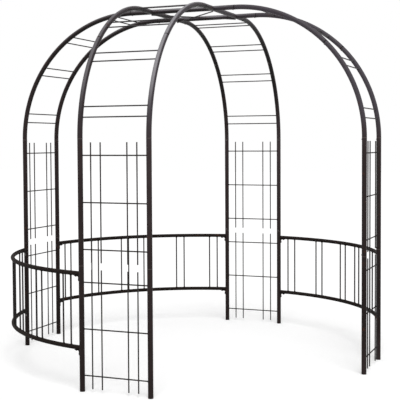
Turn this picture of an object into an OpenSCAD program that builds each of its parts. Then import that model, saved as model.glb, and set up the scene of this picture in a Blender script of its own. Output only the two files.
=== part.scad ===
// Round garden gazebo of welded steel tube: four ladder legs carry two arches
// that cross in a crown, and curved railings close three of the four sides.
// Millimetres, +Z up, origin on the ground below the middle of the crown.
// The open side is the quarter between +X and -Y.

/* [Legs] */
// Distance from the centre line to the posts of a leg
leg_radius = 1250; // [1000:10:1600]
// Distance between the two posts of a leg, centre to centre
leg_w = 450; // [340:5:600]
// Height of one leg panel; each leg is two panels high
panel_h = 755; // [600:5:950]

/* [Crown] */
// Length of a crown arm, from the crossing tube's centre line to its end
crown_arm = 155; // [60:5:300]

/* [Tubes] */
// Diameter of the posts, arches and crown tubes
tube_d = 32; // [24:0.5:40]
// Wall of every tube
tube_wall = 1; // [0.8:0.1:2]
// Length of the reduced end that plugs into the next tube
spigot_l = 20; // [12:1:24]
// Clearance between a reduced end and the bore around it
spigot_gap = 0.35; // [0.3:0.05:0.6]
// Chamfer that leads a reduced end into its bore
spigot_chamfer = 1; // [0.5:0.1:2]
// Diameter of the screw hole through each joint of two tubes
joint_hole_d = 5; // [3:0.5:8]

/* [Lattice] */
// Diameter of the rungs
rung_d = 8; // [5:0.5:12]
// Diameter of the upright rods of a leg
rod_d = 8; // [5:0.5:12]
// Distance between the two rods of a pair, centre to centre
pair_gap = 64; // [40:1:90]
// Distance from a post to the middle of the nearest pair of rods
pair_inset = 106; // [80:1:140]
// Distance from a panel's end to its outer rung
rung_inset = 98; // [60:1:140]
// Distance from a panel's end to the tips of its rods
rod_tip_gap = 21; // [12:1:40]
// Depth to which crossing rods are pressed together at their welds
weld_depth = 1; // [0.5:0.1:1.5]
// Distance from the end of an arch piece to its nearest pair of rungs
arch_rung_inset = 160; // [110:5:180]
// Distance by which the rungs of the upper arch pieces sit low
upper_rung_drop = 11; // [0:1:25]

/* [Railings] */
// Height of the top rail's centre line
top_rail_z = 708; // [640:2:1000]
// Height of the bottom rail's centre line
bottom_rail_z = 262; // [100:2:400]
// Diameter of the rails
rail_d = 27; // [18:0.5:34]
// Diameter of the balusters
baluster_d = 10; // [6:0.5:14]
// Number of baluster pairs in a railing
baluster_pairs = 6; // [4:2:8]
// Arc from a post to the middle of the nearest pair of balusters
baluster_inset = 117; // [90:1:150]
// Arc between the two middle pairs of balusters
middle_gap = 198; // [150:1:260]

/* [Brackets] */
// Length of the bracket's leg below the rail
bracket_reach = 36; // [32:1:50]
// Length of the bracket's leg down the post
bracket_drop = 32; // [30:1:50]
// Width of the bracket's strip
bracket_w = 16; // [14:1:24]
// Thickness of the bracket's strip
bracket_t = 3; // [2:0.5:5]
// Inner corner radius of the bracket
bracket_fillet = 9; // [4:1:10]
// Diameter of the bolt hole in each leg of the bracket
bracket_hole_d = 6.5; // [4:0.5:8]
// Distance from a leg's tip to the middle of its hole
bracket_hole_inset = 9; // [7:1:10]

/* [Fits] */
// Gap left by a welded or screwed end at the tube that it seats on
seat_gap = 0.2; // [0.1:0.05:0.3]

/* [Hidden] */

// Sides of a full turn of the bends
bend_sides = 180;
// Sides of everything else that is round
round_sides = 64;
$fn = round_sides;
// Length by which a cutting shape passes the surface that it cuts
cut_past = 1;

// Turn of each leg from the front one, seen from above
FRONT = 0;
RIGHT = 90;
BACK = 180;
LEFT = 270;
// Direction of the middle of each railing
FRONT_LEFT = 225;
BACK_LEFT = 135;
BACK_RIGHT = 45;

tube_r = tube_d / 2;
bore_r = tube_r - tube_wall;
spigot_r = bore_r - spigot_gap;
// The nose narrows by half the wall, so that a flat rim is left at its tip
nose_cut = tube_wall / 2;
post_x = leg_w / 2;
spring_z = 2 * panel_h;
// The crown's arms end where the arches start to bend
crown_reach = post_x + crown_arm;
arch_r = leg_radius - crown_reach;
crown_z = spring_z + arch_r;

rung_r = rung_d / 2;
rod_r = rod_d / 2;
rung_half = post_x - tube_r - seat_gap;
piece_arc = 45;
piece_l = arch_r * piece_arc * PI / 180;
upper_along = piece_l - upper_rung_drop;

rail_r = rail_d / 2;
// The rails follow the circle through the middles of all the posts
railing_r = norm([leg_radius, post_x]);
railing_half = 45 - atan2(post_x, leg_radius);
railing_half_l = railing_r * railing_half * PI / 180;
baluster_r = baluster_d / 2;

COAT = [0.22, 0.165, 0.155];
ROD_COAT = [0.25, 0.2, 0.185];

// Angle of an arc of the arches, from its length at the tubes' centre line
function degrees_along(length) = length / arch_r * 180 / PI;

// ---- Tubes ----------------------------------------------------------------

// Screw hole at a joint: the reduced end lies along +Z and the screw comes from +Y
module joint_hole() {
    translate([0, 0, spigot_l / 2]) rotate([-90, 0, 0])
        cylinder(d = joint_hole_d, h = tube_r + cut_past);
}

// Reduced end along +Z, without its bore: a shank and a chamfered nose
module nose() {
    shank_l = spigot_l - spigot_chamfer;
    cylinder(r = spigot_r, h = shank_l);
    translate([0, 0, shank_l])
        cylinder(r1 = spigot_r, r2 = spigot_r - nose_cut, h = spigot_chamfer);
}

// Straight tube along +Z whose top end is reduced to plug into the next one
module male_tube(len) {
    difference() {
        union() {
            cylinder(r = tube_r, h = len);
            translate([0, 0, len]) nose();
        }
        translate([0, 0, -cut_past]) cylinder(r = bore_r, h = len - tube_wall + cut_past);
        cylinder(r = spigot_r - tube_wall, h = len + spigot_l + cut_past);
        translate([0, 0, len]) joint_hole();
    }
}

// Straight tube along +Z whose two ends take reduced ends
module plain_tube(len) {
    difference() {
        cylinder(r = tube_r, h = len);
        translate([0, 0, -cut_past]) cylinder(r = bore_r, h = len + 2 * cut_past);
        joint_hole();
        translate([0, 0, len]) mirror([0, 0, 1]) joint_hole();
    }
}

// Tube bent about the Z axis, between two directions
module bent_tube(bend_r, outer_r, from, to) {
    rotate([0, 0, from]) rotate_extrude(angle = to - from, $fn = bend_sides)
        translate([bend_r, 0]) difference() {
            circle(r = outer_r, $fn = round_sides);
            circle(r = outer_r - tube_wall, $fn = round_sides);
        }
}

// Spigot along +Z, drilled from -X: a thick collar in the tube's end, then the reduced end
module spigot() {
    difference() {
        union() {
            translate([0, 0, -tube_wall]) cylinder(r = bore_r + tube_wall / 2, h = tube_wall);
            nose();
        }
        translate([0, 0, -tube_wall - cut_past])
            cylinder(r = spigot_r - tube_wall, h = spigot_l + tube_wall + 2 * cut_past);
        rotate([0, 0, 90]) joint_hole();
    }
}

// The two posts, or the two tubes of an arch, stand either side of the leg
module both_sides() {
    for (side = [-1, 1]) translate([side * post_x, 0, 0]) children();
}

// Puts a child drawn round an arch's centre, X outwards and Y upwards, in the front leg
module in_arch() {
    translate([0, -crown_reach, spring_z]) rotate([0, 0, -90]) rotate([90, 0, 0]) children();
}

// ---- Legs -----------------------------------------------------------------

module lower_posts(turn) {
    color(COAT) rotate([0, 0, turn]) translate([0, -leg_radius, 0]) both_sides()
        male_tube(panel_h);
}

module upper_posts(turn) {
    color(COAT) rotate([0, 0, turn]) translate([0, -leg_radius, panel_h]) both_sides()
        plain_tube(panel_h);
}

// Three rungs between the posts, with two pairs of rods welded across their outside
module lattice(turn, from_z) {
    rods_y = -leg_radius - rung_r - rod_r + weld_depth;
    color(ROD_COAT) rotate([0, 0, turn]) translate([0, 0, from_z]) {
        for (z = [rung_inset, panel_h / 2, panel_h - rung_inset])
            translate([-rung_half, -leg_radius, z]) rotate([0, 90, 0])
                cylinder(r = rung_r, h = 2 * rung_half);
        for (side = [-1, 1], half = [-0.5, 0.5])
            translate([side * (post_x - pair_inset) + half * pair_gap, rods_y, rod_tip_gap])
                cylinder(r = rod_r, h = panel_h - 2 * rod_tip_gap);
    }
}

// ---- Arches ---------------------------------------------------------------

// Puts a child drawn along +Z on an arch tube, pointing back down the arch
module down_arch(angle) {
    rotate([0, 0, angle]) translate([arch_r, 0, 0]) rotate([90, 0, 0]) children();
}

// Lower piece of both tubes, plugged into the posts
module lower_arch(turn) {
    color(COAT) rotate([0, 0, turn]) both_sides() in_arch() {
        difference() {
            bent_tube(arch_r, tube_r, 0, piece_arc);
            down_arch(piece_arc) rotate([0, 0, 90]) joint_hole();
        }
        down_arch(0) spigot();
    }
}

// Upper piece of both tubes, plugged into the lower piece and into the crown
module upper_arch(turn) {
    color(COAT) rotate([0, 0, turn]) both_sides() in_arch() {
        bent_tube(arch_r, tube_r, piece_arc, 2 * piece_arc);
        down_arch(piece_arc) spigot();
        down_arch(2 * piece_arc) mirror([0, 0, 1]) spigot();
    }
}

// Two pairs of rungs across one arch piece; along is the arc below them
module arch_rungs(turn, along) {
    middles = [arch_rung_inset, piece_l - arch_rung_inset];
    color(ROD_COAT) rotate([0, 0, turn]) in_arch()
        for (middle = middles, half = [-0.5, 0.5]) {
            angle = degrees_along(along + middle + half * pair_gap);
            rotate([0, 0, angle]) translate([arch_r, 0, -rung_half])
                cylinder(r = rung_r, h = 2 * rung_half);
        }
}

// ---- Crown ----------------------------------------------------------------

// Four tubes crossing at one height, open to each other inside
module crown_frame() {
    color(COAT) translate([0, 0, crown_z]) difference() {
        crown_bars(tube_r, crown_reach);
        crown_bars(bore_r, crown_reach + cut_past);
        for (turn = [FRONT, RIGHT, BACK, LEFT]) rotate([0, 0, turn]) both_sides()
            translate([0, -crown_reach, 0]) rotate([-90, 0, 0]) joint_hole();
    }
}

module crown_bars(r, reach) {
    for (turn = [0, 90]) rotate([0, 0, turn]) both_sides()
        rotate([90, 0, 0]) cylinder(r = r, h = 2 * reach, center = true);
}

// Two rods crossing under the crown's middle square, welded below its corners
module crown_cross() {
    color(ROD_COAT) translate([0, 0, crown_z - tube_r - rod_r - seat_gap])
        for (turn = [45, 135]) rotate([0, 0, turn]) rotate([0, 90, 0])
            cylinder(r = rod_r, h = 2 * norm([post_x, post_x]), center = true);
}

// ---- Railings -------------------------------------------------------------

// Puts a child at the post on one side of a railing, X along the rail
module at_railing_end(facing, side) {
    rotate([0, 0, facing + side * railing_half]) translate([railing_r, 0, 0])
        rotate([0, 0, -side * 90]) children();
}

// Bent rail whose ends are shaped to the posts
module rail(facing, z) {
    color(COAT) translate([0, 0, z]) difference() {
        bent_tube(railing_r, rail_r, facing - railing_half, facing + railing_half);
        for (side = [-1, 1]) at_railing_end(facing, side)
            cylinder(r = tube_r + seat_gap, h = 2 * rail_d, center = true);
    }
}

// Upright rods in pairs, evenly pitched from the posts to the two middle pairs
module balusters(facing) {
    bottom = bottom_rail_z + rail_r + seat_gap;
    top = top_rail_z - rail_r - seat_gap;
    outer = railing_half_l - baluster_inset;
    steps = baluster_pairs / 2 - 1;
    pitch = (outer - middle_gap / 2) / steps;
    color(ROD_COAT) for (side = [-1, 1], k = [0 : steps], half = [-0.5, 0.5]) {
        arc = side * (outer - k * pitch) + half * pair_gap;
        rotate([0, 0, facing + arc / railing_r * 180 / PI]) translate([railing_r, 0, bottom])
            cylinder(r = baluster_r, h = top - bottom);
    }
}

// Outline of the bracket: a leg along +X, a leg down -Y and a round inner corner
module bracket_outline() {
    translate([0, -bracket_t]) square([bracket_reach, bracket_t]);
    translate([0, -bracket_drop]) square([bracket_t, bracket_drop]);
    translate([bracket_t, -bracket_t - bracket_fillet]) difference() {
        square(bracket_fillet);
        translate([bracket_fillet, 0]) circle(r = bracket_fillet);
    }
}

// Angle strip below a rail's end: X along the rail, Z up, corner at the post
module bracket() {
    hole_l = bracket_t + 2 * cut_past;
    translate([tube_r + seat_gap, 0, -rail_r - seat_gap]) difference() {
        translate([0, bracket_w / 2, 0]) rotate([90, 0, 0])
            linear_extrude(height = bracket_w) bracket_outline();
        translate([bracket_reach - bracket_hole_inset, 0, -bracket_t - cut_past])
            cylinder(d = bracket_hole_d, h = hole_l);
        translate([-cut_past, 0, -bracket_drop + bracket_hole_inset]) rotate([0, 90, 0])
            cylinder(d = bracket_hole_d, h = hole_l);
    }
}

module rail_brackets() {
    color(COAT) for (facing = [FRONT_LEFT, BACK_LEFT, BACK_RIGHT], side = [-1, 1])
        at_railing_end(facing, side)
            for (z = [bottom_rail_z, top_rail_z]) translate([0, 0, z]) bracket();
}

// ---- Parts ----------------------------------------------------------------

lower_posts(FRONT);  // front_lower_posts
lower_posts(RIGHT);  // right_lower_posts
lower_posts(BACK);  // back_lower_posts
lower_posts(LEFT);  // left_lower_posts

lattice(FRONT, 0);  // front_lower_lattice
lattice(RIGHT, 0);  // right_lower_lattice
lattice(BACK, 0);  // back_lower_lattice
lattice(LEFT, 0);  // left_lower_lattice

upper_posts(FRONT);  // front_upper_posts
upper_posts(RIGHT);  // right_upper_posts
upper_posts(BACK);  // back_upper_posts
upper_posts(LEFT);  // left_upper_posts

lattice(FRONT, panel_h);  // front_upper_lattice
lattice(RIGHT, panel_h);  // right_upper_lattice
lattice(BACK, panel_h);  // back_upper_lattice
lattice(LEFT, panel_h);  // left_upper_lattice

lower_arch(FRONT);  // front_lower_arch
lower_arch(RIGHT);  // right_lower_arch
lower_arch(BACK);  // back_lower_arch
lower_arch(LEFT);  // left_lower_arch

arch_rungs(FRONT, 0);  // front_lower_arch_rungs
arch_rungs(RIGHT, 0);  // right_lower_arch_rungs
arch_rungs(BACK, 0);  // back_lower_arch_rungs
arch_rungs(LEFT, 0);  // left_lower_arch_rungs

upper_arch(FRONT);  // front_upper_arch
upper_arch(RIGHT);  // right_upper_arch
upper_arch(BACK);  // back_upper_arch
upper_arch(LEFT);  // left_upper_arch

arch_rungs(FRONT, upper_along);  // front_upper_arch_rungs
arch_rungs(RIGHT, upper_along);  // right_upper_arch_rungs
arch_rungs(BACK, upper_along);  // back_upper_arch_rungs
arch_rungs(LEFT, upper_along);  // left_upper_arch_rungs

crown_frame();
crown_cross();

rail(FRONT_LEFT, top_rail_z);  // front_left_top_rail
rail(FRONT_LEFT, bottom_rail_z);  // front_left_bottom_rail
balusters(FRONT_LEFT);  // front_left_balusters
rail(BACK_LEFT, top_rail_z);  // back_left_top_rail
rail(BACK_LEFT, bottom_rail_z);  // back_left_bottom_rail
balusters(BACK_LEFT);  // back_left_balusters
rail(BACK_RIGHT, top_rail_z);  // back_right_top_rail
rail(BACK_RIGHT, bottom_rail_z);  // back_right_bottom_rail
balusters(BACK_RIGHT);  // back_right_balusters
rail_brackets();
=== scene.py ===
from math import atan2, cos, hypot, pi, radians, sin

import bpy
from mathutils import Euler, Matrix, Vector


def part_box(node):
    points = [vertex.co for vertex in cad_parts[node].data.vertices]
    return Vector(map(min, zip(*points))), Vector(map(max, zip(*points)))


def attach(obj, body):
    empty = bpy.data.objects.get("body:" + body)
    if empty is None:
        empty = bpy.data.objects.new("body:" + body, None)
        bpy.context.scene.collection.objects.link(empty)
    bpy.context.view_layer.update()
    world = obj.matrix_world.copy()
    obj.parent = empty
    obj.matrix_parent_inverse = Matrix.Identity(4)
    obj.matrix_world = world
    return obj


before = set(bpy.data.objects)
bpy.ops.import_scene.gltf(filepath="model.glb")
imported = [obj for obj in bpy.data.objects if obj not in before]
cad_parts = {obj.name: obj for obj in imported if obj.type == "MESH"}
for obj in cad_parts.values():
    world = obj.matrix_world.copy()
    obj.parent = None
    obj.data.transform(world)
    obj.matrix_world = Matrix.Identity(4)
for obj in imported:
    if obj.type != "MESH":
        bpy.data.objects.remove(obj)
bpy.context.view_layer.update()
scene = bpy.context.scene

# ---- Sizes of the gazebo, in metres ---------------------------------------------------
# X points to the right leg, Y to the back leg and Z up, from the ground below the crown.

# Read from the boxes of the parts
posts_low, posts_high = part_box("front_lower_posts")
upper_low, upper_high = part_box("front_upper_posts")
crown_low, crown_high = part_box("crown_frame")
rail_boxes = [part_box("front_left_bottom_rail"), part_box("front_left_top_rail")]

TUBE_R = (posts_high.y - posts_low.y) / 2
LEG_RADIUS = -(posts_high.y + posts_low.y) / 2
POST_X = posts_high.x - TUBE_R                      # from a leg's middle to its posts
PANEL_H = upper_low.z
SPRING_Z = upper_high.z
CROWN_REACH = crown_high.y                          # from the centre to the crown's ends
CROWN_Z = (crown_low.z + crown_high.z) / 2
ARCH_R = LEG_RADIUS - CROWN_REACH
ARCH_JOINT = pi / 4                                 # turn from the spring line to the joint
RAILING_R = hypot(LEG_RADIUS, POST_X)
RAILING_HALF = pi / 4 - atan2(POST_X, LEG_RADIUS)   # half of the turn of a railing
RAIL_ZS = [(low.z + high.z) / 2 for low, high in rail_boxes]
RAIL_R = (rail_boxes[0][1].z - rail_boxes[0][0].z) / 2

# Shared by parts that have no box of their own
RUNG_R = 0.004
ROD_R = 0.004
BALUSTER_R = 0.005
PAIR_GAP = 0.064             # between the two of a pair, centre to centre
PAIR_INSET = 0.106           # from a post to the middle of the nearest pair of rods
RUNG_INSET = 0.098           # from a panel's end to its outer rung
ARCH_RUNG_INSET = 0.160      # from an arch piece's end to its nearest pair of rungs
UPPER_RUNG_DROP = 0.011      # by which the rungs of the upper arch pieces sit low
BALUSTER_PAIRS = 6
BALUSTER_INSET = 0.117       # arc from a post to the middle of the nearest pair
MIDDLE_GAP = 0.198           # arc between the two middle pairs
SPIGOT_L = 0.020             # reduced end that plugs into the next tube
BRACKET_REACH = 0.036        # leg below the rail
BRACKET_DROP = 0.032         # leg down the post
BRACKET_T = 0.003
BRACKET_HOLE_INSET = 0.009   # from a leg's tip to the middle of its hole
SEAT_GAP = 0.0002            # left by an end at the tube that it seats on

# Directions in degrees about Z
LEG_TURNS = {"front": 0, "right": 90, "back": 180, "left": 270}
RAILING_DIRECTIONS = {"front_left": 225, "back_left": 135, "back_right": 45}

# The two sides of a leg or railing, and the two of a pair about its middle
SIDES = (-1, 1)
HALVES = (-0.5, 0.5)


# ---- Nodes of a finish ----------------------------------------------------------------

class Wire:
    """An output socket. Arithmetic on it adds Math nodes to its finish."""

    def __init__(self, finish, socket):
        self.finish = finish
        self.socket = socket

    def math(self, operation, first, second):
        return self.finish.node("ShaderNodeMath", {"operation": operation}, {0: first, 1: second})

    def __add__(self, other):
        return self.math("ADD", self, other)

    def __sub__(self, other):
        return self.math("SUBTRACT", self, other)

    def __mul__(self, other):
        return self.math("MULTIPLY", self, other)

    __radd__ = __add__
    __rmul__ = __mul__

    def __rsub__(self, other):
        return self.math("SUBTRACT", other, self)


class Finish:
    """Nodes of a material or world, with one method that adds any node to them."""

    def __init__(self, holder):
        holder.use_nodes = True
        self.holder = holder
        self.tree = holder.node_tree
        self.tree.nodes.clear()

    def node(self, kind, settings=None, inputs=None, output=0):
        """Adds a node and returns the output that is named or numbered, if it has one."""
        made = self.tree.nodes.new(kind)
        for name, value in (settings or {}).items():
            setattr(made, name, value)
        for name, value in (inputs or {}).items():
            if isinstance(value, Wire):
                self.tree.links.new(value.socket, made.inputs[name])
            else:
                made.inputs[name].default_value = value
        return Wire(self, made.outputs[output]) if made.outputs else None

    def close(self, shader, output="ShaderNodeOutputMaterial"):
        self.node(output, None, {"Surface": shader})
        return self.holder


# Places of the colour sockets on a Mix node, which has others of the same names
MIX_SHARE, MIX_FIRST, MIX_SECOND, MIX_RESULT = 0, 6, 7, 2


def along(vector, axis):
    """The part of a vector along one axis, which is named X, Y or Z."""
    return vector.finish.node("ShaderNodeSeparateXYZ", None, {"Vector": vector}, axis)


def noise(place, scale, detail):
    inputs = {"Vector": place, "Scale": scale, "Detail": detail}
    return place.finish.node("ShaderNodeTexNoise", None, inputs, "Fac")


def between(value, start, end):
    """0 up to start, 1 from end on, and smooth between them. A falling span works too."""
    inputs = {"Value": value, "From Min": start, "From Max": end}
    return value.finish.node("ShaderNodeMapRange", {"interpolation_type": "SMOOTHSTEP"}, inputs)


def mix_colours(share, first, second):
    inputs = {MIX_SHARE: share, MIX_FIRST: first, MIX_SECOND: second}
    return share.finish.node("ShaderNodeMix", {"data_type": "RGBA"}, inputs, MIX_RESULT)


def tinted(colour, red, green, blue):
    """The colour with each of its channels taken down to a share."""
    return [colour[0] * red, colour[1] * green, colour[2] * blue, 1.0]


# ---- Powder coat ----------------------------------------------------------------------

# Colour of the painted sheen, a lighter grey that stands in for the reflection of light from
# above
PAINTED_SHEEN = (0.325, 0.315, 0.335, 1)
# Colour of painted shade, on faces that look down and in the pits of the peel
DEEP_SHADE = (0.004, 0.0035, 0.0035, 1)
RUST_BLOOM = (0.075, 0.028, 0.014, 1)
# Colour of the dust, also used as a painted highlight on the crests of the peel
DUST_AND_HIGHLIGHT = (0.105, 0.092, 0.080, 1)
BARE_PRIMER = (0.165, 0.150, 0.140, 1)

# Noises of the coat: how fine, per metre, and how detailed. Streaks are drawn out downwards.
CLOUDS = (9.0, 4.0)
STREAKS = (210.0, 3.0)
STREAK_STRETCH = (1.0, 1.0, 0.06)
PEEL = (420.0, 3.0)
GRIT = (1500.0, 2.0)
BLOOMS = (26.0, 6.0)
CHIPS = (150.0, 5.0)

# Spans over the gazebo, in metres, along which one shade of the coat gives way to another
LEFT_TO_RIGHT = (-1.3, 1.3)
FOOT_TO_SHOULDER = (0.0, 1.8)
BELOW_SHOULDER = (1.8, 1.3)
ABOVE_FOOT = (0.0, 0.3)
ONTO_RIGHT_LEG = (0.3, 1.1)
ONTO_BACK_ARCH = (0.3, 0.9)
ONTO_RIGHT_ARCH = (0.05, 0.45)
BEHIND_FRONT_ARCH = (-0.34, -0.26)
BEFORE_BACK_ARCH = (0.34, 0.26)
PAST_SPRING_LINE = (SPRING_Z - 0.1, SPRING_Z + 0.2)
UP_THE_ARCH = (SPRING_Z + 0.04, SPRING_Z + 0.42)
ACROSS_FRONT_ARCH = (-0.38, 0.25)

# Painted light, lighter to the right and upwards, with random tone: 0 is the dark tone, 0.5 the
# middle tone and 1 the light tone
MID_TONE_AT = 0.5
LIGHT_TONE_AT = 1.0
LIGHTER_TO_RIGHT = 0.5
LIGHTER_UPWARDS = 0.5
TONE_IN_CLOUDS = 0.24
TONE_IN_STREAKS = 0.16
LIGHTNESS_OFFSET = 0.20
LESS_LIGHT_LOW_ON_RIGHT_LEG = 0.42
LESS_LIGHT_ON_BACK_ARCH = 0.21
BROWNER = (0.94, 0.78, 0.70)

# Painted shade: deeper colour of faces that look down, which the right arch lacks
LOOKING_DOWN = (-0.1, -0.5)
SHADE_SHARE = 0.9

# Painted sheen, a lighter grey that stands in for the reflection of light from above, by how far
# a face looks up and not to the right
LOOKING_UP = (0.02, 0.36)
LOOKING_RIGHT = (0.42, 0.86)
SHEEN_LEFT = 0.28
SHEEN_GAIN_TO_RIGHT = 0.70
SHEEN_LOST_ON_RIGHT_ARCH = 0.95
SHEEN_EVEN = 0.75
SHEEN_IN_STREAKS = 0.3
SHEEN_IN_CLOUDS = 0.2

# Fine layers: the span of noise over which each one shows, and its share
# The pits of the peel get painted shade and its crests a painted highlight
PITS = (0.56, 0.36)
PIT_SHADE_SHARE = 0.30
PIT_SHADE_LESS_UNDER_SHEEN = 0.26
CRESTS = (0.48, 0.68)
CREST_HIGHLIGHT_SHARE = 0.12
BLOOMING = (0.62, 0.74)
BLOOM_SHARE = 0.25
BLOOM_GRIT = 0.5
DUSTY = (0.60, 0.72)
DUST_SHARE = 0.25
DUST_ON_TOP = 0.5
TOPS = (0.0, 0.7)
CHIPPED = (0.735, 0.750)

# Relief and dullness of the layers
COAT_RELIEF = {"Strength": 0.5, "Distance": 0.0004}
GRIT_RELIEF = 0.15
CHIP_RELIEF = 0.8
DULL_CLOUDS = 0.1
DULL_LAYER = 0.2


class Coat(Finish):
    """A powder coat, with the places, directions and noises that its layers share."""

    def __init__(self, name):
        super().__init__(bpy.data.materials.new(name))
        self.place = self.node("ShaderNodeTexCoord", None, None, "Object")
        self.across, self.depth, self.height = [along(self.place, axis) for axis in "XYZ"]
        facing = self.node("ShaderNodeNewGeometry", None, None, "Normal")
        self.facing_right = along(facing, "X")
        self.facing_up = along(facing, "Z")

        stretched = self.node("ShaderNodeMapping", None, {
            "Vector": self.place, "Scale": STREAK_STRETCH})
        self.clouds = noise(self.place, *CLOUDS)
        self.streaks = noise(stretched, *STREAKS)
        self.peel = noise(self.place, *PEEL)
        self.grit = noise(self.place, *GRIT)

        self.past_spring = between(self.height, *PAST_SPRING_LINE)
        middle = between(self.depth, *BEHIND_FRONT_ARCH) * between(self.depth, *BEFORE_BACK_ARCH)
        self.right_arch = between(self.across, *ONTO_RIGHT_ARCH) * middle


def tone_with_painted_light(coat, dark_tone, mid_tone, light_tone):
    """Coat colour before anything lies on it, with painted light: lighter to the right and
    upwards, less so low on the right leg and on the back arch, and random tone in clouds and
    streaks.
    """
    # Painted light: the colour grows lighter to the right and upwards, less so low on the right
    # leg and on the back arch
    lightness = between(coat.across, *LEFT_TO_RIGHT) * LIGHTER_TO_RIGHT
    lightness = lightness + between(coat.height, *FOOT_TO_SHOULDER) * LIGHTER_UPWARDS
    lightness = lightness + coat.clouds * TONE_IN_CLOUDS + coat.streaks * TONE_IN_STREAKS - LIGHTNESS_OFFSET
    low_on_legs = between(coat.height, *BELOW_SHOULDER) * between(coat.height, *ABOVE_FOOT)
    lightness = lightness - between(coat.across, *ONTO_RIGHT_LEG) * low_on_legs * LESS_LIGHT_LOW_ON_RIGHT_LEG
    back_arch = between(coat.depth, *ONTO_BACK_ARCH) * coat.past_spring
    lightness = lightness - back_arch * LESS_LIGHT_ON_BACK_ARCH
    light_tone = mix_colours(coat.past_spring, tinted(light_tone, *BROWNER), light_tone)
    colour = mix_colours(between(lightness, 0.0, MID_TONE_AT), dark_tone, mid_tone)
    return mix_colours(between(lightness, MID_TONE_AT, LIGHT_TONE_AT), colour, light_tone)


def painted_sheen_mask(coat):
    """Share of the painted sheen high on the arches, a lighter grey that stands in for the
    reflection of light from above, on what faces the sky and the left.

    It is thin on the left arch, thick on the right tubes of the front and back arches, and
    next to nothing on the right arch.
    """
    skyward = between(coat.facing_up, *LOOKING_UP)
    skyward = skyward * (1.0 - between(coat.facing_right, *LOOKING_RIGHT))
    front_arch = between(coat.across, *ACROSS_FRONT_ARCH) * SHEEN_GAIN_TO_RIGHT + SHEEN_LEFT
    spread = front_arch * (1.0 - coat.right_arch * SHEEN_LOST_ON_RIGHT_ARCH)
    uneven = SHEEN_EVEN + coat.streaks * SHEEN_IN_STREAKS + coat.clouds * SHEEN_IN_CLOUDS
    return skyward * between(coat.height, *UP_THE_ARCH) * spread * uneven


def powder_coat(name, colours, roughness, sheen_share, gloss=0.10):
    """Baked powder coat on steel, with light and shade painted into its colour.

    The three colours are the coat's dark, middle and light tone. Painted light makes it
    lightest to the right and at the top, less so low on the right leg and on the back arch,
    with random tone in clouds and streaks, and the right arch is even. The light tone is
    lilac above the spring line and browner below it. Faces that look down get painted
    shade, and a painted sheen, a lighter grey that stands in for the reflection of light
    from above, lies on top of the arches. Close to, the coat has an orange peel with painted
    shade in its pits and a painted highlight on its crests, rain streaks, rust blooms, dust
    and small chips.
    """
    coat = Coat(name)
    # Painted sheen on top of the arches, a lighter grey for the reflection of light from above
    sheen = painted_sheen_mask(coat) * sheen_share
    # Painted shade on faces that look down
    shade = between(coat.facing_up, *LOOKING_DOWN)
    shade = shade * (SHADE_SHARE - coat.right_arch * SHADE_SHARE)
    # Painted shade in the pits of the peel and a painted highlight on its crests
    pit_shade = between(coat.peel, *PITS) * (PIT_SHADE_SHARE - sheen * PIT_SHADE_LESS_UNDER_SHEEN)
    crest_highlight = between(coat.peel, *CRESTS) * CREST_HIGHLIGHT_SHARE
    bloom = between(noise(coat.place, *BLOOMS), *BLOOMING)
    on_tops = DUST_SHARE + between(coat.facing_up, *TOPS) * DUST_ON_TOP
    dust = between(coat.grit, *DUSTY) * on_tops
    chip = between(noise(coat.place, *CHIPS), *CHIPPED)

    colour = tone_with_painted_light(coat, *colours)
    colour = mix_colours(shade, colour, DEEP_SHADE)
    colour = mix_colours(sheen, colour, PAINTED_SHEEN)
    colour = mix_colours(pit_shade, colour, DEEP_SHADE)
    colour = mix_colours(crest_highlight, colour, DUST_AND_HIGHLIGHT)
    colour = mix_colours(bloom * (BLOOM_SHARE + coat.grit * BLOOM_GRIT), colour, RUST_BLOOM)
    colour = mix_colours(dust, colour, DUST_AND_HIGHLIGHT)
    colour = mix_colours(chip, colour, BARE_PRIMER)

    dulled = roughness + coat.clouds * DULL_CLOUDS + sheen * DULL_LAYER
    dulled = dulled + bloom * DULL_LAYER + dust * DULL_LAYER
    relief = coat.peel + coat.grit * GRIT_RELIEF - chip * CHIP_RELIEF
    bump = coat.node("ShaderNodeBump", None, {**COAT_RELIEF, "Height": relief})
    return coat.close(coat.node("ShaderNodeBsdfPrincipled", None, {
        "Base Color": colour,
        "Roughness": dulled,
        "Specular IOR Level": gloss,
        "Normal": bump}))


# ---- Bare steel -----------------------------------------------------------------------

ZINC_CLOUDS = (160.0, 3.0)
ZINC_GRAINS = (2600.0, 2.0)
ZINC_RELIEF = {"Strength": 0.25, "Distance": 0.0002}
DULLED = (0.35, 0.7)
DULLED_TINT = (0.55, 0.55, 0.55)
DULLED_ROUGHNESS = 0.2


def bare_steel(name, colour, roughness):
    """Zinc-plated steel, dulled unevenly."""
    finish = Finish(bpy.data.materials.new(name))
    place = finish.node("ShaderNodeTexCoord", None, None, "Object")
    dulled = between(noise(place, *ZINC_CLOUDS), *DULLED)
    bump = finish.node("ShaderNodeBump", None, {
        **ZINC_RELIEF, "Height": noise(place, *ZINC_GRAINS)})
    return finish.close(finish.node("ShaderNodeBsdfPrincipled", None, {
        "Base Color": mix_colours(dulled, colour, tinted(colour, *DULLED_TINT)),
        "Metallic": 1.0,
        "Roughness": roughness + dulled * DULLED_ROUGHNESS,
        "Normal": bump}))


# ---- The finishes, and the parts that wear them ---------------------------------------

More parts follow.
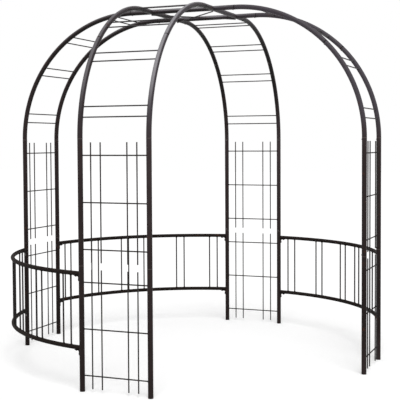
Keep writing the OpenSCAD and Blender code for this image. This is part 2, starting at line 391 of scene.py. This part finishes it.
# Each coat's dark, middle and light tone, which the painted light mixes
BROWN = [(0.0080, 0.0035, 0.0030, 1), (0.0240, 0.0155, 0.0155, 1), (0.0710, 0.0620, 0.0745, 1)]
RAIL_BROWN = [
    (0.0110, 0.0072, 0.0062, 1), (0.0180, 0.0132, 0.0122, 1), (0.0240, 0.0185, 0.0180, 1)]
GREY_BROWN = [
    (0.0100, 0.0080, 0.0075, 1), (0.0230, 0.0200, 0.0190, 1), (0.0440, 0.0400, 0.0420, 1)]
WORN = [(0.090, 0.070, 0.066, 1), (0.120, 0.098, 0.094, 1), (0.150, 0.130, 0.128, 1)]
# Tones of the painted shadow in the arch joints
GAP_SHADOW_TONES = [(0.006, 0.005, 0.005, 1), (0.009, 0.008, 0.008, 1), (0.012, 0.011, 0.011, 1)]
ZINC = (0.16, 0.15, 0.15, 1)

TUBE_COAT = powder_coat("brown_tube_coat", BROWN, roughness=0.40, sheen_share=0.9)
RAIL_COAT = powder_coat("brown_rail_coat", RAIL_BROWN, roughness=0.60, sheen_share=0.0, gloss=0.03)
ROD_COAT = powder_coat("brown_rod_coat", GREY_BROWN, roughness=0.48, sheen_share=0.3)
WORN_EDGE = powder_coat("worn_edge_coat", WORN, roughness=0.50, sheen_share=0.4)
# Dark coat of the arch joint rims, painted shade that stands in for the shadow in the gap between
# the tubes
JOINT_SHADOW = powder_coat("grimy_joint_coat", GAP_SHADOW_TONES, roughness=0.80, sheen_share=0.1)
SCREW_ZINC = bare_steel("dark_zinc", ZINC, roughness=0.38)


def finish_of(node):
    thin = ("lattice", "rungs", "balusters", "cross")
    if any(word in node for word in thin):
        return ROD_COAT
    return RAIL_COAT if node.endswith("rail") else TUBE_COAT


for name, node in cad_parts.items():
    for slot in node.material_slots:
        slot.material = finish_of(name)


# ---- Making and placing small pieces --------------------------------------------------

# Least upright part of the normal of a face that counts as level
LEVEL = 0.99

# Degrees: neighbouring faces that meet at less than this shade as one surface
SMOOTH_BOLT = 30
SMOOTH_SCREW = 40
SMOOTH_RING = 80


def deselect_all():
    bpy.ops.object.select_all(action="DESELECT")


def make_active(piece):
    deselect_all()
    piece.select_set(True)
    bpy.context.view_layer.objects.active = piece


def apply_place():
    bpy.ops.object.transform_apply(location=True, rotation=True, scale=True)


def faces_up(face):
    return face.normal.z > LEVEL


def faces_down(face):
    return face.normal.z < -LEVEL


def any_face(face):
    return True


def select_faces(piece, wanted):
    """Leaves the piece in edit mode with only the faces that wanted(face) accepts selected."""
    make_active(piece)
    bpy.ops.object.mode_set(mode="EDIT")
    bpy.ops.mesh.select_all(action="DESELECT")
    bpy.ops.object.mode_set(mode="OBJECT")
    for face in piece.data.polygons:
        face.select = wanted(face)
    bpy.ops.object.mode_set(mode="EDIT")
    bpy.ops.mesh.select_mode(type="FACE")


def leave_edit():
    bpy.ops.object.mode_set(mode="OBJECT")


def smooth(piece, degrees):
    make_active(piece)
    bpy.ops.object.shade_smooth_by_angle(angle=radians(degrees))


def lay_out(pattern, places, name, material):
    """Copies the pattern to every place, joins the copies and removes the pattern."""
    copies = []
    for place in places:
        copy = pattern.copy()
        copy.data = pattern.data.copy()
        copy.data.transform(place)
        scene.collection.objects.link(copy)
        copies.append(copy)
    bpy.data.objects.remove(pattern)
    deselect_all()
    for copy in copies:
        copy.select_set(True)
    bpy.context.view_layer.objects.active = copies[0]
    bpy.ops.object.join()
    piece = copies[0]
    piece.name = name
    piece.data.name = name
    piece.data.materials.clear()
    piece.data.materials.append(material)
    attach(piece, "root")


def aimed(point, direction):
    """A place at the point with its Z along the direction."""
    turn = Vector(direction).to_track_quat("Z", "Y").to_matrix().to_4x4()
    return Matrix.Translation(Vector(point)) @ turn


def turned(degrees_round):
    return Matrix.Rotation(radians(degrees_round), 4, "Z")


def on_every_leg(places):
    """Places on the front leg and its arch, repeated on the other three."""
    return [turned(turn) @ place for turn in LEG_TURNS.values() for place in places]


def arch_point(angle, x, out=0.0):
    """A point of the front arch, by its angle above the spring line."""
    reach = ARCH_R + out
    return Vector((x, -CROWN_REACH - reach * cos(angle), SPRING_Z + reach * sin(angle)))


def arch_tangent(angle):
    return Vector((0, sin(angle), cos(angle)))


def arch_inward(angle):
    return Vector((0, cos(angle), -sin(angle)))


# ---- Screws and bolts -----------------------------------------------------------------

SCREW_SIDES = 20
SCREW_R = 0.0045
SCREW_H = 0.0032
SCREW_ROUNDING = SCREW_R * 0.3
SCREW_SUNK = 0.0006
RECESS_RIM = SCREW_R * 0.2
RECESS_DEPTH = 0.0014
SHANK_R = 0.0023
SHANK_L = 0.007


def pan_head_screw():
    """Pan head with a round recess over a short shank, its rim on the plane z = 0."""
    deselect_all()
    bpy.ops.mesh.primitive_cylinder_add(
        vertices=SCREW_SIDES, radius=SCREW_R, depth=SCREW_H, location=(0, 0, SCREW_H / 2))
    screw = bpy.context.object
    apply_place()
    select_faces(screw, faces_up)
    bpy.ops.mesh.bevel(offset=SCREW_ROUNDING, segments=4, affect="EDGES")
    leave_edit()
    select_faces(screw, faces_up)
    bpy.ops.mesh.inset(thickness=RECESS_RIM)
    bpy.ops.mesh.extrude_region_move(TRANSFORM_OT_translate={"value": (0, 0, -RECESS_DEPTH)})
    leave_edit()
    select_faces(screw, faces_down)
    bpy.ops.mesh.inset(thickness=SCREW_R - SHANK_R)
    bpy.ops.mesh.extrude_region_move(TRANSFORM_OT_translate={"value": (0, 0, -SHANK_L)})
    leave_edit()
    smooth(screw, SMOOTH_SCREW)
    return screw


def joint_screw_places():
    """One screw through every tube joint, on the side that faces the inside."""
    middle = SPIGOT_L / 2
    seat = TUBE_R - SCREW_SUNK
    angle = ARCH_JOINT - middle / ARCH_R
    places = []
    for side in SIDES:
        x = side * POST_X
        for z in (PANEL_H + middle, SPRING_Z - middle):
            places.append(aimed((x, seat - LEG_RADIUS, z), (0, 1, 0)))
        places.append(aimed(arch_point(angle, x, -seat), arch_inward(angle)))
        places.append(aimed((x, middle - CROWN_REACH, CROWN_Z - seat), (0, 0, -1)))
    return on_every_leg(places)


lay_out(pan_head_screw(), joint_screw_places(), "joint_screws", SCREW_ZINC)

BOLT_R = 0.0055
BOLT_H = 0.0035
BOLT_ROUNDING = BOLT_R * 0.12
HEXAGON = 6
WASHER_R = 0.0072
WASHER_H = 0.001
WASHER_ROUNDING = WASHER_H * 0.3
WASHER_SIDES = 24


def rounded_disc(sides, radius, height, rise, rounding):
    """A disc or prism that stands on z = rise, with its upper edge rounded."""
    deselect_all()
    bpy.ops.mesh.primitive_cylinder_add(
        vertices=sides, radius=radius, depth=height, location=(0, 0, rise + height / 2))
    disc = bpy.context.object
    apply_place()
    select_faces(disc, faces_up)
    bpy.ops.mesh.bevel(offset=rounding, segments=2, affect="EDGES")
    leave_edit()
    return disc


def hex_bolt():
    """Hexagon head on a washer, sitting on the plane z = 0."""
    bolt = rounded_disc(WASHER_SIDES, WASHER_R, WASHER_H, 0.0, WASHER_ROUNDING)
    head = rounded_disc(HEXAGON, BOLT_R, BOLT_H, WASHER_H, BOLT_ROUNDING)
    make_active(bolt)
    head.select_set(True)
    bpy.ops.object.join()
    smooth(bolt, SMOOTH_BOLT)
    return bolt


def railing_end(direction, side):
    """Place of a railing's end: origin at the post, X along the rail, Z up."""
    angle = radians(direction) + side * RAILING_HALF
    post = Vector((RAILING_R * cos(angle), RAILING_R * sin(angle), 0))
    return Matrix.Translation(post) @ Matrix.Rotation(angle - side * pi / 2, 4, "Z")


def bracket_bolt_places():
    """Two bolts in every bracket, up into the rail and inwards to the post."""
    near = TUBE_R + SEAT_GAP
    places = []
    for direction in RAILING_DIRECTIONS.values():
        for side in SIDES:
            end = railing_end(direction, side)
            for z in RAIL_ZS:
                under = z - RAIL_R - SEAT_GAP
                rail_bolt = (near + BRACKET_REACH - BRACKET_HOLE_INSET, 0, under - BRACKET_T)
                post_bolt = (near + BRACKET_T, 0, under - BRACKET_DROP + BRACKET_HOLE_INSET)
                places.append(end @ aimed(rail_bolt, (0, 0, -1)))
                places.append(end @ aimed(post_bolt, (1, 0, 0)))
    return places


lay_out(hex_bolt(), bracket_bolt_places(), "bracket_bolts", SCREW_ZINC)


# ---- Tube joints ----------------------------------------------------------------------

SEAM_R = 0.0003
POST_RIM_STRETCH = 5
ARCH_RIM_STRETCH = 10


def seam_ring(stretch):
    """Lip where two tubes meet, round the Z axis, its inner half inside the tube."""
    deselect_all()
    bpy.ops.mesh.primitive_torus_add(
        major_radius=TUBE_R, minor_radius=SEAM_R, major_segments=64, minor_segments=8)
    ring = bpy.context.object
    select_faces(ring, any_face)
    bpy.ops.transform.resize(value=(1, 1, stretch))
    leave_edit()
    smooth(ring, SMOOTH_RING)
    return ring


def post_joint_places():
    return on_every_leg([
        aimed((side * POST_X, -LEG_RADIUS, z), (0, 0, 1))
        for side in SIDES for z in (PANEL_H, SPRING_Z)])


def arch_joint_places():
    places = []
    for side in SIDES:
        x = side * POST_X
        places.append(aimed(arch_point(ARCH_JOINT, x), arch_tangent(ARCH_JOINT)))
        places.append(aimed((x, -CROWN_REACH, CROWN_Z), (0, 1, 0)))
    return on_every_leg(places)


lay_out(seam_ring(POST_RIM_STRETCH), post_joint_places(), "post_joint_rims", WORN_EDGE)
# The arch joint rims are a dark band of painted shade, standing in for the shadow in the gap
# between the tubes
lay_out(seam_ring(ARCH_RIM_STRETCH), arch_joint_places(), "arch_joint_rims", JOINT_SHADOW)


# ---- Welds ----------------------------------------------------------------------------

# Radius of a bead as a share of its bar's, and its offset and lumps as shares of its own
BEAD_SHARE = 0.42
BEAD_OFFSET = 0.3
BEAD_LUMPS = 0.22

SPOT_SHAPE = (1.25, 1.25, 0.6)
SPOT_LUMPS = ROD_R * 0.12


def weld_bead(bar_r):
    """Lumpy ring of weld round a bar along Z, where it meets a tube."""
    deselect_all()
    bead_r = bar_r * BEAD_SHARE
    bpy.ops.mesh.primitive_torus_add(
        major_radius=bar_r + bead_r * BEAD_OFFSET, minor_radius=bead_r,
        major_segments=14, minor_segments=6)
    bead = bpy.context.object
    select_faces(bead, any_face)
    bpy.ops.transform.vertex_random(offset=bead_r * BEAD_LUMPS, uniform=0.4, seed=7)
    leave_edit()
    smooth(bead, SMOOTH_RING)
    return bead


def leg_rung_heights():
    one_panel = (RUNG_INSET, PANEL_H / 2, PANEL_H - RUNG_INSET)
    return [panel * PANEL_H + z for panel in (0, 1) for z in one_panel]


def arch_rung_angles():
    """Angle of every rung of an arch's lower and upper piece above the spring line."""
    piece_l = ARCH_R * ARCH_JOINT
    angles = []
    for along_arch in (0, piece_l - UPPER_RUNG_DROP):
        for middle in (ARCH_RUNG_INSET, piece_l - ARCH_RUNG_INSET):
            for half in HALVES:
                angles.append((along_arch + middle + half * PAIR_GAP) / ARCH_R)
    return angles


def rung_weld_places():
    places = []
    for side in SIDES:
        x = side * (POST_X - TUBE_R)
        for z in leg_rung_heights():
            places.append(aimed((x, -LEG_RADIUS, z), (side, 0, 0)))
        for angle in arch_rung_angles():
            places.append(aimed(arch_point(angle, x), (side, 0, 0)))
    return on_every_leg(places)


lay_out(weld_bead(RUNG_R), rung_weld_places(), "rung_welds", ROD_COAT)


def baluster_arcs():
    """Arc from the middle of a railing to each of its balusters."""
    outer = RAILING_R * RAILING_HALF - BALUSTER_INSET
    steps = BALUSTER_PAIRS // 2 - 1
    pitch = (outer - MIDDLE_GAP / 2) / steps
    pairs = [side * (outer - k * pitch) for side in SIDES for k in range(steps + 1)]
    return [pair + half * PAIR_GAP for pair in pairs for half in HALVES]


def baluster_weld_places():
    places = []
    for direction in RAILING_DIRECTIONS.values():
        for arc in baluster_arcs():
            angle = radians(direction) + arc / RAILING_R
            x, y = RAILING_R * cos(angle), RAILING_R * sin(angle)
            places.append(aimed((x, y, RAIL_ZS[0] + RAIL_R), (0, 0, 1)))
            places.append(aimed((x, y, RAIL_ZS[1] - RAIL_R), (0, 0, 1)))
    return places


lay_out(weld_bead(BALUSTER_R), baluster_weld_places(), "baluster_welds", ROD_COAT)


def weld_spot():
    """Small lump of weld between two crossing rods."""
    deselect_all()
    bpy.ops.mesh.primitive_uv_sphere_add(segments=10, ring_count=6, radius=ROD_R)
    spot = bpy.context.object
    select_faces(spot, any_face)
    bpy.ops.transform.resize(value=SPOT_SHAPE)
    bpy.ops.transform.vertex_random(offset=SPOT_LUMPS, uniform=0.3, seed=3)
    leave_edit()
    smooth(spot, SMOOTH_RING)
    return spot


def crossing_places():
    rods_y = -LEG_RADIUS - RUNG_R
    places = []
    for side in SIDES:
        for half in HALVES:
            x = side * (POST_X - PAIR_INSET) + half * PAIR_GAP
            for z in leg_rung_heights():
                places.append(aimed((x, rods_y, z), (0, 1, 0)))
    return on_every_leg(places)


lay_out(weld_spot(), crossing_places(), "crossing_welds", ROD_COAT)

CROWN_BEAD_R = 0.0018
CROWN_BEAD_LUMPS = CROWN_BEAD_R * 0.2
MITRE_STRETCH = 2 ** 0.5


def crown_bead():
    """Ring of weld in one of the two curves where equal tubes cross, flush above and below."""
    deselect_all()
    bead_h = TUBE_R - CROWN_BEAD_R
    bpy.ops.mesh.primitive_torus_add(
        major_radius=bead_h, minor_radius=CROWN_BEAD_R, major_segments=48, minor_segments=6,
        rotation=(pi / 2, 0, 0))
    bead = bpy.context.object
    apply_place()
    select_faces(bead, any_face)
    bpy.ops.transform.resize(value=(MITRE_STRETCH * TUBE_R / bead_h, 1, 1))
    bpy.ops.transform.vertex_random(offset=CROWN_BEAD_LUMPS, uniform=0.3, seed=11)
    leave_edit()
    smooth(bead, SMOOTH_RING)
    return bead


def crown_bead_places():
    """Both curves, at 45 and 135 degrees, of each of the four crossings."""
    return [
        Matrix.Translation((x * POST_X, y * POST_X, CROWN_Z)) @ turned(turn)
        for x in SIDES for y in SIDES for turn in (45, 135)]


lay_out(crown_bead(), crown_bead_places(), "crown_welds", TUBE_COAT)


# ---- Floor, light and camera ----------------------------------------------------------

WHITE = (1, 1, 1, 1)
FLOOR_GREY = (0.8, 0.8, 0.8, 1)
FLOOR_SIZE = 80
FLOOR_LIFT = 0.30         # glow of the floor to the eye, which lights nothing
DOME_STRENGTH = 0.45
SUN_STRENGTH = 1.9
SUN_SPREAD = 35           # degrees, for soft shadows
SUN_TURN = (32, 12, 10)   # degrees about X, Y and Z, from straight down


def seen_directly(finish):
    """1 for what the camera sees, straight or in a reflection, and 0 for what only lights."""
    camera_ray, glossy_ray, through_ray = [
        finish.node("ShaderNodeLightPath", None, None, ray)
        for ray in ("Is Camera Ray", "Is Glossy Ray", "Is Transmission Ray")]
    reflected = glossy_ray.math("MAXIMUM", glossy_ray, through_ray)
    return camera_ray.math("MAXIMUM", camera_ray, reflected)


def pale_floor():
    """Floor that reads white to the eye and keeps the gazebo's shadow."""
    deselect_all()
    bpy.ops.mesh.primitive_plane_add(size=FLOOR_SIZE)
    floor = bpy.context.object
    floor.name = "floor"
    finish = Finish(bpy.data.materials.new("pale_floor"))
    lift = finish.node("ShaderNodeEmission", None, {
        "Color": WHITE, "Strength": seen_directly(finish) * FLOOR_LIFT})
    lit = finish.node("ShaderNodeBsdfDiffuse", None, {"Color": FLOOR_GREY})
    both = finish.node("ShaderNodeAddShader", None, {0: lit, 1: lift})
    floor.data.materials.append(finish.close(both))


def studio_light():
    """White surroundings that light as a dimmer dome, and one broad lamp from above."""
    scene.world = bpy.data.worlds.new("studio")
    air = Finish(scene.world)
    dome = air.node("ShaderNodeBackground", None, {"Color": WHITE, "Strength": DOME_STRENGTH})
    backdrop = air.node("ShaderNodeBackground", None, {"Color": WHITE, "Strength": 1.0})
    shown = air.node("ShaderNodeMixShader", None, {0: seen_directly(air), 1: dome, 2: backdrop})
    air.close(shown, "ShaderNodeOutputWorld")

    sun = bpy.data.lights.new("soft_sun", "SUN")
    sun.energy = SUN_STRENGTH
    sun.angle = radians(SUN_SPREAD)
    lamp = bpy.data.objects.new("soft_sun", sun)
    lamp.rotation_euler = Euler([radians(degrees) for degrees in SUN_TURN])
    scene.collection.objects.link(lamp)


# Metres, degrees, and millimetres for the lens and sensor
CAMERA_PLACE = (2.573, -6.295, 1.4835)
CAMERA_HEADING = 22.304
CAMERA_PITCH = -2.436
CAMERA_ROLL = -0.305
CAMERA_LENS = 86.97
CAMERA_SENSOR = 36
CAMERA_SHIFT = (0.0151, -0.0405)


def camera():
    data = bpy.data.cameras.new("camera")
    data.lens = CAMERA_LENS
    data.sensor_width = CAMERA_SENSOR
    data.shift_x, data.shift_y = CAMERA_SHIFT
    eye = bpy.data.objects.new("camera", data)
    heading = Matrix.Rotation(radians(CAMERA_HEADING), 4, "Z")
    tilt = Matrix.Rotation(radians(90 + CAMERA_PITCH), 4, "X")
    roll = Matrix.Rotation(radians(CAMERA_ROLL), 4, "Z")
    eye.matrix_world = Matrix.Translation(CAMERA_PLACE) @ heading @ tilt @ roll
    scene.collection.objects.link(eye)
    scene.camera = eye


pale_floor()
studio_light()
camera()
scene.view_settings.view_transform = "Standard"
